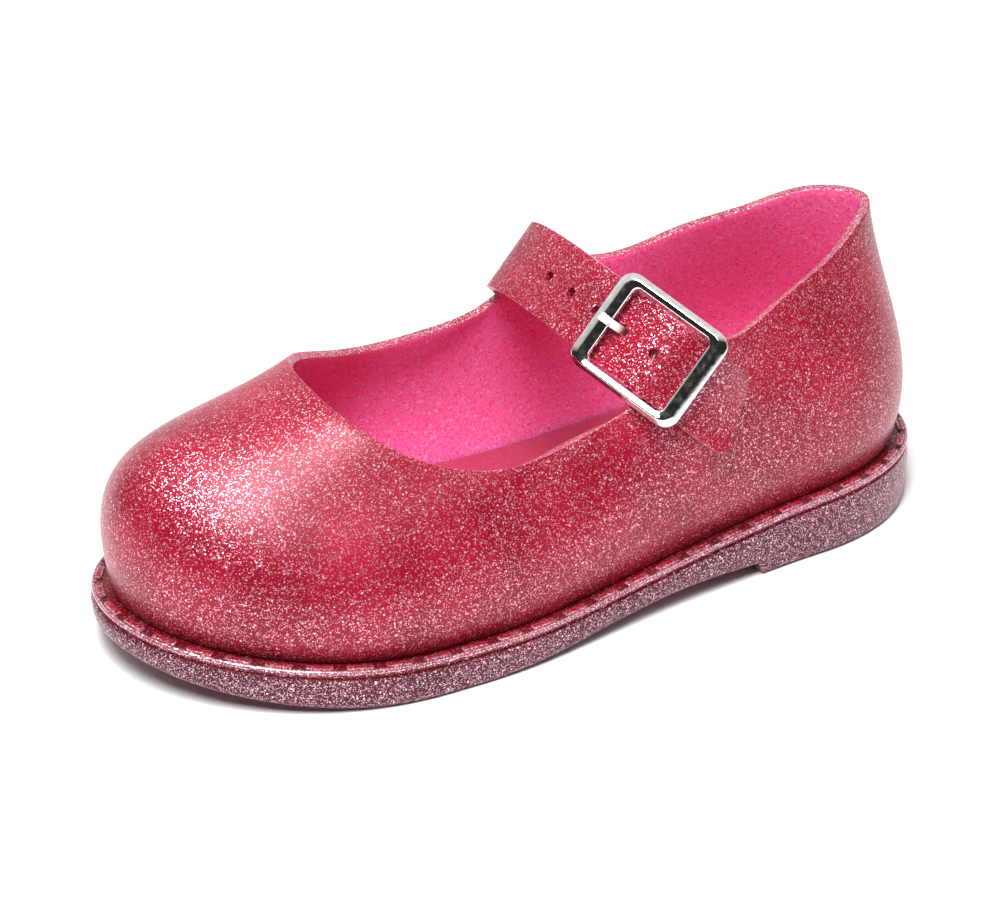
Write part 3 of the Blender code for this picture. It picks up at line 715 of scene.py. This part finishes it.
def rod(name, start, stop, radius):
    """A round rod between two points."""
    middle = (start + stop) / 2
    bpy.ops.mesh.primitive_cylinder_add(vertices=ROUND_SIDES, radius=radius, depth=(stop - start).length)
    item = bpy.context.object
    item.name = name
    turn = (stop - start).to_track_quat("Z", "Y").to_matrix().to_4x4()
    item.matrix_world = Matrix.Translation(middle) @ turn
    return item


def join_or_cut(item, tools, operation):
    for tool in tools:
        step = item.modifiers.new(operation.lower(), "BOOLEAN")
        step.operation = operation
        step.solver = "EXACT"
        step.object = tool
        bpy.context.view_layer.update()
        apply_modifiers(item)


def buckle_place():
    """The frame's own matrix: X along the strap, Y across it, Z outward."""
    reach = (FRAME_LENGTH - END_BAR) / 2
    front = strap_point(BUCKLE_STATION - reach, 0, 0)
    rear = strap_point(BUCKLE_STATION + reach, 0, 0)
    normal = (rear - front).cross(STRAP_ACROSS).normalized()
    along = STRAP_ACROSS.cross(normal).normalized()
    lift = WALL / 2 + FRAME_LIFT + FRAME_THICKNESS / 2
    centre = (front + rear) / 2 + normal * lift
    centre += STRAP_ACROSS * (bar_centre() - centre).dot(STRAP_ACROSS)
    return frame_matrix(centre, along, STRAP_ACROSS, normal)


def flat_outline(name, thickness):
    curve = bpy.data.curves.new(name, "CURVE")
    curve.dimensions = "2D"
    curve.fill_mode = "BOTH"
    curve.extrude = thickness / 2
    item = bpy.data.objects.new(name, curve)
    bpy.context.scene.collection.objects.link(item)
    return item, curve


def soften(item, width, segments, angle=EDGE_ANGLE, material=-1):
    """Round the edges sharper than an angle, in a listed material or in the faces' own (-1)."""
    edge = item.modifiers.new("edge", "BEVEL")
    edge.width = width
    edge.segments = segments
    edge.limit_method = "ANGLE"
    edge.angle_limit = math.radians(angle)
    edge.material = material
    bpy.context.view_layer.update()
    apply_modifiers(item)


def prong_route():
    """Middle line of the prong's arm in the frame's X and Z, its ring's radius and centre, and its axis."""
    place = buckle_place()
    middle = place.inverted() @ bar_centre()
    across = place.to_3x3() @ Vector((0, 1, 0))
    prong_hole = place.inverted() @ strap_point(BUCKLE_STATION - PRONG_REACH, 0, 0)
    arm_lift = TAB_LIFT - PRONG_THICKNESS / 2
    under = place.inverted() @ strap_point(BUCKLE_STATION - PRONG_REACH / 2, 0, arm_lift)
    below = place.inverted() @ strap_point(BUCKLE_STATION - PRONG_REACH, 0, arm_lift)
    front_bar = -(FRAME_LENGTH - END_BAR) / 2
    over = FRAME_THICKNESS / 2 + GAP + PRONG_THICKNESS / 2
    ring = BAR_DIAMETER / 2 + GAP + PRONG_THICKNESS / 2
    start = math.radians(PRONG_START)
    line = [(middle.x + ring * math.cos(start), middle.z + ring * math.sin(start)), (under.x, under.z)]
    line += [(below.x + PRONG_THICKNESS / 2, below.z)]
    line += [(prong_hole.x - PRONG_THICKNESS / 4, prong_hole.z)]
    line += [(front_bar + END_BAR / 2, over - PRONG_THICKNESS / 8)]
    line += [(front_bar + END_BAR / 4, over), (front_bar - END_BAR / 4, over)]
    return place, line, ring, middle, across


def make_prong():
    """The prong: a ring on the centre bar, and an arm under the strap, through it and over the front bar."""
    place, line, ring, middle, across = prong_route()
    prong, curve = flat_outline("buckle_prong", PRONG_WIDTH)
    half = PRONG_THICKNESS / 2
    upper_side = []
    lower_side = []
    for step, (x, z) in enumerate(line):
        before = line[max(step - 1, 0)]
        after = line[min(step + 1, len(line) - 1)]
        run = Vector((after[0] - before[0], after[1] - before[1])).normalized()
        upper_side.append((x + run.y * half, z - run.x * half))
        lower_side.append((x - run.y * half, z + run.x * half))
    outline_points = upper_side + lower_side[::-1]
    shape = curve.splines.new("POLY")
    shape.points.add(len(outline_points) - 1)
    for point, (x, z) in zip(shape.points, outline_points):
        point.co = (x, z, 0, 1)
    shape.use_cyclic_u = True
    bpy.context.view_layer.update()
    prong = as_mesh(prong)
    stand = Matrix(((1, 0, 0, 0), (0, 0, -1, 0), (0, 1, 0, 0), (0, 0, 0, 1)))
    prong.matrix_world = place @ stand
    centre = place @ middle
    ring_solid = rod("ring", centre - across * PRONG_WIDTH / 2, centre + across * PRONG_WIDTH / 2,
                     ring + PRONG_THICKNESS / 2)
    bore = rod("ring_bore", centre - across * PRONG_WIDTH, centre + across * PRONG_WIDTH,
               BAR_DIAMETER / 2 + GAP)
    bpy.context.view_layer.update()
    join_or_cut(prong, [ring_solid], "UNION")
    join_or_cut(prong, [bore], "DIFFERENCE")
    bpy.data.objects.remove(ring_solid, do_unlink=True)
    bpy.data.objects.remove(bore, do_unlink=True)
    return prong


def nodes_of(name):
    """A new material with its node tree and its Principled shader."""
    made = bpy.data.materials.new(name)
    made.use_nodes = True
    tree = made.node_tree
    return made, tree, tree.nodes["Principled BSDF"]


def link(tree, source, target):
    tree.links.new(source, target)


def math_node(tree, operation, first, second, clamp=False):
    """One sum on two values, each a number or a socket."""
    node = tree.nodes.new("ShaderNodeMath")
    node.operation = operation
    node.use_clamp = clamp
    for place, value in enumerate((first, second)):
        if isinstance(value, (int, float)):
            node.inputs[place].default_value = value
        else:
            link(tree, value, node.inputs[place])
    return node.outputs[0]


def map_range(tree, value, from_low, from_high, to_low, to_high):
    """A value carried from one range to another, and kept inside it."""
    node = tree.nodes.new("ShaderNodeMapRange")
    node.inputs["From Min"].default_value = from_low
    node.inputs["From Max"].default_value = from_high
    node.inputs["To Min"].default_value = to_low
    node.inputs["To Max"].default_value = to_high
    link(tree, value, node.inputs["Value"])
    return node.outputs["Result"]


def mix_colour(tree, factor, first, second):
    """Two colours, each a tuple or a socket, mixed by a factor."""
    node = tree.nodes.new("ShaderNodeMix")
    node.data_type = "RGBA"
    link(tree, factor, node.inputs["Factor"])
    for place, value in ((6, first), (7, second)):
        if isinstance(value, tuple):
            node.inputs[place].default_value = (*value, 1)
        else:
            link(tree, value, node.inputs[place])
    return node.outputs[2]


def vector_node(tree, operation, first, second=None, scale=None):
    """One sum on vectors, with a second vector or a scale where the operation has one."""
    node = tree.nodes.new("ShaderNodeVectorMath")
    node.operation = operation
    for place, value in enumerate((first, second)):
        if value is None:
            continue
        if isinstance(value, tuple):
            node.inputs[place].default_value = value
        else:
            link(tree, value, node.inputs[place])
    if scale is not None:
        link(tree, scale, node.inputs["Scale"])
    return node.outputs[0]


def flecks(tree, place, cell, share):
    """One layer of glitter: its mask, a random number and a random direction for each fleck."""
    cells = tree.nodes.new("ShaderNodeTexVoronoi")
    cells.inputs["Scale"].default_value = 1 / cell
    link(tree, place, cells.inputs["Vector"])
    parts = tree.nodes.new("ShaderNodeSeparateColor")
    link(tree, cells.outputs["Color"], parts.inputs["Color"])
    chosen = math_node(tree, "LESS_THAN", parts.outputs["Red"], share)
    body = map_range(tree, cells.outputs["Distance"], *FLECK_EDGE, 1.0, 0.0)
    mask = math_node(tree, "MULTIPLY", chosen, body, clamp=True)
    tilt = vector_node(tree, "SUBTRACT", cells.outputs["Color"], (0.5, 0.5, 0.5))
    return mask, parts.outputs["Green"], tilt


def glitter(name, deep, pale, dim_fleck, bright_fleck, look):
    """Soft vinyl full of glitter: a mottled colour, two layers of tilted flecks and a soft gloss."""
    made, tree, shader = nodes_of(name)
    place = tree.nodes.new("ShaderNodeTexCoord").outputs["Object"]
    cloud = tree.nodes.new("ShaderNodeTexNoise")
    cloud.inputs["Scale"].default_value = look["cloud"]
    cloud.inputs["Detail"].default_value = 4
    link(tree, place, cloud.inputs["Vector"])
    base = mix_colour(tree, map_range(tree, cloud.outputs["Fac"], *MOTTLE, 0.0, 1.0), deep, pale)
    fleck, tone, tilt = flecks(tree, place, look["cell"], look["share"])
    glint, _, glint_tilt = flecks(tree, place, look["cell"] * GLINT_CELL, look["glints"])
    fleck_colour = mix_colour(tree, tone, dim_fleck, bright_fleck)
    colour = mix_colour(tree, fleck, base, fleck_colour)
    link(tree, mix_colour(tree, glint, colour, bright_fleck), shader.inputs["Base Color"])
    cover = math_node(tree, "MAXIMUM", fleck, glint)
    link(tree, math_node(tree, "MULTIPLY", cover, look["fleck_metal"]), shader.inputs["Metallic"])
    normal = tree.nodes.new("ShaderNodeNewGeometry").outputs["Normal"]
    fleck_scale = math_node(tree, "MULTIPLY", fleck, look["tilt"])
    glint_scale = math_node(tree, "MULTIPLY", glint, look["tilt"])
    fleck_lean = vector_node(tree, "SCALE", tilt, scale=fleck_scale)
    glint_lean = vector_node(tree, "SCALE", glint_tilt, scale=glint_scale)
    leaned = vector_node(tree, "ADD", normal, vector_node(tree, "ADD", fleck_lean, glint_lean))
    link(tree, vector_node(tree, "NORMALIZE", leaned), shader.inputs["Normal"])
    rough = map_range(tree, cover, 0.0, 1.0, look["roughness"], look["fleck_roughness"])
    link(tree, rough, shader.inputs["Roughness"])
    shader.inputs["Subsurface Weight"].default_value = look["glow"]
    shader.inputs["Subsurface Radius"].default_value = RED_SCATTER
    shader.inputs["Subsurface Scale"].default_value = look["depth"]
    shader.inputs["Coat Weight"].default_value = look["coat"]
    shader.inputs["Coat Roughness"].default_value = look["coat_roughness"]
    shader.inputs["Specular IOR Level"].default_value = look["gloss"]
    shader.inputs["Specular Tint"].default_value = GLOSS_TINT
    return made


def jelly_look(**changes):
    """How the outside's glitter and gloss are set, with changes for other pieces."""
    look = {
        "cloud": 70.0, "cell": 0.00021, "share": 0.30, "glints": 0.04, "tilt": 0.42, "fleck_metal": 0.75,
        "roughness": 0.36, "fleck_roughness": 0.32, "gloss": 0.22, "glow": 0.06, "depth": 0.0020,
        "coat": 0.32, "coat_roughness": 0.34,
    }
    look.update(changes)
    return look


def outer_jelly():
    return glitter("jelly_outside", (0.22, 0.001, 0.010), (0.33, 0.003, 0.022),
                   (0.42, 0.03, 0.09), (0.94, 0.50, 0.62), jelly_look())


# Painted light: the inside is a much brighter pink than the outside's deep crimson, standing in for light
# shining through the thin wall; its pink is the vinyl's own and its specks are the glitter.
def inner_jelly_painted_light():
    return glitter("jelly_inside_painted_light", (0.99, 0.125, 0.38), (1.0, 0.22, 0.54),
                   (0.68, 0.035, 0.16), (1.0, 0.36, 0.66),
                   jelly_look(cloud=1500.0, cell=0.00034, share=0.40, fleck_metal=0.0, tilt=0.2, coat=0.1,
                              glow=0.50, depth=0.0040))


# Painted highlight: the cut edges and their rounding get a paler base and more, brighter flecks than the
# outside, for the pale line of light along the rounded edges.
def cut_edge_painted_highlight_jelly():
    return glitter("jelly_cut_edge_painted_highlight", (0.30, 0.020, 0.050), (0.42, 0.060, 0.100),
                   (0.62, 0.18, 0.26), (1.0, 0.76, 0.82), jelly_look(share=0.44, glow=0.15))


def sole_jelly():
    return glitter("sole_jelly", (0.060, 0.003, 0.009), (0.10, 0.010, 0.021),
                   (0.22, 0.06, 0.10), (0.94, 0.62, 0.70), jelly_look(share=0.38))


# Painted shade: fewer and dimmer flecks darken the recessed groove and the channel between the upper and the
# rim.
def groove_painted_shade_jelly():
    return glitter("sole_groove_painted_shade", (0.15, 0.001, 0.006), (0.22, 0.003, 0.013),
                   (0.40, 0.04, 0.09), (0.80, 0.45, 0.52), jelly_look(share=0.18))


# Painted highlight: a pale base and dense, bright flecks paint the line of light on the rounded rim bead and
# on the stitches' raised edges; the bead's gloss is real.
def bead_painted_highlight_jelly():
    return glitter("sole_bead_painted_highlight", (0.28, 0.03, 0.06), (0.40, 0.09, 0.13),
                   (0.72, 0.34, 0.42), (1.0, 0.88, 0.92),
                   jelly_look(share=0.55, roughness=0.2, gloss=0.6, coat=0.7, coat_roughness=0.14))


def insole_vinyl():
    return glitter("insole_vinyl", (0.37, 0.038, 0.085), (0.42, 0.050, 0.11),
                   (0.32, 0.02, 0.06), (0.55, 0.10, 0.18),
                   jelly_look(share=0.2, fleck_metal=0.0, tilt=0.2, coat=0.1, glow=0.2))


def plated_metal(name, rough_low, rough_high):
    """Polished plating with a faint cloud in its tone and gloss."""
    made, tree, shader = nodes_of(name)
    place = tree.nodes.new("ShaderNodeTexCoord").outputs["Object"]
    cloud = tree.nodes.new("ShaderNodeTexNoise")
    cloud.inputs["Scale"].default_value = 900
    cloud.inputs["Detail"].default_value = 6
    link(tree, place, cloud.inputs["Vector"])
    tone = map_range(tree, cloud.outputs["Fac"], 0.40, 0.60, 0.0, 1.0)
    link(tree, mix_colour(tree, tone, (0.78, 0.77, 0.74), (0.90, 0.89, 0.86)), shader.inputs["Base Color"])
    rough = map_range(tree, cloud.outputs["Fac"], 0.3, 0.7, rough_low, rough_high)
    link(tree, rough, shader.inputs["Roughness"])
    shader.inputs["Metallic"].default_value = 1.0
    bump = tree.nodes.new("ShaderNodeBump")
    bump.inputs["Strength"].default_value = 0.06
    bump.inputs["Distance"].default_value = 0.0002
    link(tree, cloud.outputs["Fac"], bump.inputs["Height"])
    link(tree, bump.outputs["Normal"], shader.inputs["Normal"])
    return made


def piece(item, name, node, materials, angle=EDGE_ANGLE):
    """Names a finished mesh, gives it its materials and lets it stand for its CAD node."""
    item.name = name
    item.data.transform(item.matrix_world)
    item.matrix_world.identity()
    for made in materials:
        item.data.materials.append(made)
    item.data.shade_smooth()
    item.data.set_sharp_from_angle(angle=math.radians(angle))
    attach(item, "root")
    if node:
        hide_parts(node)


def insole_section(share):
    """Rows of the insole's section, with a rounded upper edge."""
    low = footbed(share) + GAP
    top = low + INSOLE_THICKNESS
    edge = -WELT_LEDGE - WALL - GAP
    soft = INSOLE_THICKNESS / 4
    inward = soft * INSOLE_CORNER
    return [(edge, low), (edge, top - soft), (edge - inward, top - inward), (edge - soft, top)]


def make_upper(materials):
    """The hollow upper with its strap, rounded cut edges and strap holes, in outer jelly, an inside painted
    bright for the light through the wall, and cut edges painted pale as a highlight.
    """
    upper = upper_sheet()
    shell = upper.modifiers.new("wall", "SOLIDIFY")
    shell.thickness = WALL
    shell.offset = -1
    shell.use_even_offset = True
    shell.use_rim = True
    shell.material_offset = INSIDE_PLACE
    shell.material_offset_rim = CUT_HIGHLIGHT_PLACE
    for made in materials:
        upper.data.materials.append(made)
    apply_modifiers(upper)
    soften(upper, CUT_EDGE_ROUND, 2, CUT_EDGE_ANGLE, CUT_HIGHLIGHT_PLACE)
    prong_hole = BUCKLE_STATION - PRONG_REACH
    cuts = []
    for step in range(-HOLES_BEFORE_PRONG, HOLES_AFTER_PRONG + 1):
        middle, _, _, normal = strap_frame(prong_hole + step * HOLE_PITCH)
        radius = (PRONG_HOLE_DIAMETER if step == 0 else HOLE_DIAMETER) / 2
        depth = (WALL + GAP) / 2
        cuts.append(rod("hole", middle - normal * depth, middle + normal * depth, radius))
    join_or_cut(upper, cuts, "DIFFERENCE")
    for cut in cuts:
        bpy.data.objects.remove(cut, do_unlink=True)
    return upper


def make_outsole():
    """The outsole, with its rim bead painted pale as a highlight, and the groove under the bead and the
    channel beside the upper painted darker as shade.
    """
    sole = banded_solid("outsole_body", sole_section, sole_angles())
    strips = len(sole_section(0.0)) - 1
    walls = strips * 2 * SIDE_COLUMNS
    for face in sole.data.polygons:
        if face.index >= walls:
            continue
        strip = face.index % strips
        if strip in HIGHLIGHT_BEAD_STRIPS:
            face.material_index = HIGHLIGHT_BEAD_PLACE
        elif strip in SHADED_GROOVE_STRIPS:
            face.material_index = SHADED_GROOVE_PLACE
    return sole


def make_stitches():
    """The raised moulded stitches on top of the welt, all the way round, with sides and edges in the bead's
    pale colour as a painted highlight.
    """
    mesh = bmesh.new()
    turns = np.linspace(0, 360, OUTLINE_POINTS)
    points = np.array([outline(turn)[0] for turn in turns])
    run = np.r_[0, np.cumsum(np.linalg.norm(np.diff(points, axis=0), axis=1))]
    count = round(run[-1] / STITCH_PITCH)
    pitch = run[-1] / count
    for step in range(count):
        rings = []
        for part in np.linspace(-0.5, 0.5, STITCH_RINGS):
            turn = float(np.interp((step + 0.5) * pitch + part * STITCH_LENGTH, run, turns))
            top = rim_top(sole_share(turn)) + STITCH_RISE
            ring = []
            for outward, height in ((-STITCH_OUTER, -STITCH_DEPTH), (-STITCH_OUTER, 0),
                                    (-STITCH_INNER, 0), (-STITCH_INNER, -STITCH_DEPTH)):
                point, _ = outline(turn, outward)
                ring.append(mesh.verts.new((point[0], point[1], top + height)))
            rings.append(ring)
        for here, ahead in zip(rings, rings[1:]):
            for corner in range(4):
                after = (corner + 1) % 4
                mesh.faces.new((here[corner], here[after], ahead[after], ahead[corner]))
        mesh.faces.new(rings[0])
        mesh.faces.new(rings[-1][::-1])
    bmesh.ops.recalc_face_normals(mesh, faces=mesh.faces)
    stitches = finished("welt_stitches", mesh)
    soften(stitches, STITCH_EDGE, 2)
    for face in stitches.data.polygons:
        if face.normal.z > STITCH_FLAT:
            face.material_index = TOP_PLACE
    return stitches


def frame_ring(reach, rise):
    """Corner points of one ring of the frame's section: outward share and height, round all four sides."""
    points = []
    for corner, (side_x, side_y) in enumerate(((1, 1), (-1, 1), (-1, -1), (1, -1))):
        inner_x = FRAME_LENGTH / 2 - END_BAR
        inner_y = FRAME_WIDTH / 2 - SIDE_BAR
        inner_round = FRAME_CORNER - END_BAR / 2
        x = inner_x + END_BAR * reach
        y = inner_y + SIDE_BAR * reach
        radius = inner_round + (FRAME_CORNER - inner_round) * reach
        for step in range(CORNER_STEPS + 1):
            angle = math.radians(90 * corner + 90 * step / CORNER_STEPS)
            points.append((side_x * (x - radius) + radius * math.cos(angle),
                           side_y * (y - radius) + radius * math.sin(angle), rise))
    return points


def make_frame():
    """The buckle's frame with its domed bars, and the dropped centre bar."""
    mesh = bmesh.new()
    half = FRAME_THICKNESS / 2
    rings = []
    for reach, rise in FRAME_SECTION:
        rings.append([mesh.verts.new(point) for point in frame_ring(reach, rise * half)])
    count = len(rings[0])
    for place, here in enumerate(rings):
        ahead = rings[(place + 1) % len(rings)]
        for step in range(count):
            after = (step + 1) % count
            mesh.faces.new((here[step], here[after], ahead[after], ahead[step]))
    bmesh.ops.recalc_face_normals(mesh, faces=mesh.faces)
    body = finished("buckle_frame_bars", mesh)
    place = buckle_place()
    body.matrix_world = place
    bpy.context.view_layer.update()
    middle = place.inverted() @ bar_centre()
    side = (FRAME_WIDTH - SIDE_BAR) / 2
    turn = BAR_DIAMETER
    soft = turn * (1 - math.cos(math.radians(45)))
    route = [(-side, 0), (-side, middle.z + turn), (-side + soft, middle.z + soft)]
    route += [(-side + turn, middle.z)]
    route += [(-y, z) for y, z in reversed(route)]
    curve = bpy.data.curves.new("centre_bar", "CURVE")
    curve.dimensions = "3D"
    curve.bevel_depth = BAR_DIAMETER / 2
    curve.bevel_resolution = 4
    curve.use_fill_caps = True
    line = curve.splines.new("POLY")
    line.points.add(len(route) - 1)
    for point, (y, z) in zip(line.points, route):
        point.co = (middle.x, y, z, 1)
    bar = bpy.data.objects.new("centre_bar", curve)
    bpy.context.scene.collection.objects.link(bar)
    bar.matrix_world = place
    bpy.context.view_layer.update()
    bar = as_mesh(bar)
    join_or_cut(body, [bar], "UNION")
    bpy.data.objects.remove(bar, do_unlink=True)
    return body


def make_camera():
    """The camera at the photograph's angle."""
    data = bpy.data.cameras.new("camera")
    data.lens = CAMERA_LENS
    data.sensor_width = SENSOR_WIDTH
    data.clip_start = 0.01
    camera = bpy.data.objects.new("camera", data)
    bpy.context.scene.collection.objects.link(camera)
    axes = (Vector(CAMERA_RIGHT), Vector(CAMERA_UP), Vector(CAMERA_BACK))
    camera.matrix_world = frame_matrix(Vector(CAMERA_PLACE), *axes)
    bpy.context.scene.camera = camera


def softbox(name, place, target, width, height, power):
    """A rectangular lamp that faces a target."""
    data = bpy.data.lights.new(name, "AREA")
    data.shape = "RECTANGLE"
    data.size = width
    data.size_y = height
    data.energy = power
    light = bpy.data.objects.new(name, data)
    bpy.context.scene.collection.objects.link(light)
    light.location = place
    light.rotation_mode = "QUATERNION"
    light.rotation_quaternion = (Vector(target) - Vector(place)).to_track_quat("-Z", "Y")


def make_studio():
    """A white floor, a pale sky above and behind that darkens towards the front, and soft lamps."""
    bpy.ops.mesh.primitive_grid_add(x_subdivisions=2, y_subdivisions=2, size=FLOOR_SIZE)
    floor = bpy.context.object
    floor.name = "floor"
    made, _, shader = nodes_of("floor_paper")
    shader.inputs["Base Color"].default_value = FLOOR_TONE
    shader.inputs["Roughness"].default_value = 0.9
    shader.inputs["Specular IOR Level"].default_value = 0.0
    floor.data.materials.append(made)
    world = bpy.data.worlds.new("studio")
    bpy.context.scene.world = world
    world.use_nodes = True
    tree = world.node_tree
    place = tree.nodes.new("ShaderNodeTexCoord").outputs["Generated"]
    lean = tree.nodes.new("ShaderNodeVectorMath")
    lean.operation = "DOT_PRODUCT"
    lean.inputs[1].default_value = SKY_SIDE
    link(tree, place, lean.inputs[0])
    bright = map_range(tree, lean.outputs["Value"], *SKY_LEAN, 0.0, 1.0)
    sky = tree.nodes["Background"]
    link(tree, mix_colour(tree, bright, SKY_DARK, SKY_BRIGHT), sky.inputs["Color"])
    sky.inputs["Strength"].default_value = SKY_STRENGTH
    for lamp in LAMPS:
        softbox(*lamp)
    view = bpy.context.scene.view_settings
    view.view_transform = "Standard"
    view.look = "None"


def main():
    make_camera()
    make_studio()
    skin = outer_jelly()
    bead = bead_painted_highlight_jelly()
    piece(make_outsole(), "outsole_body", "outsole", [sole_jelly(), bead, groove_painted_shade_jelly()])
    piece(make_stitches(), "welt_stitches", None, [bead, skin])
    insole = banded_solid("insole_sheet", insole_section, sole_angles())
    piece(insole, "insole_sheet", "insole", [insole_vinyl()])
    upper = make_upper((skin, inner_jelly_painted_light(), cut_edge_painted_highlight_jelly()))
    piece(upper, "upper_jelly", "upper", (), UPPER_SMOOTHING)
    frame_plating = plated_metal("frame_plating", 0.05, 0.16)
    piece(make_frame(), "buckle_frame_bars", "buckle_frame", [frame_plating])
    prong = make_prong()
    soften(prong, PRONG_ROUND, 3)
    prong_plating = plated_metal("prong_plating", 0.30, 0.42)
    piece(prong, "buckle_prong_arm", "buckle_prong", [prong_plating])


main()
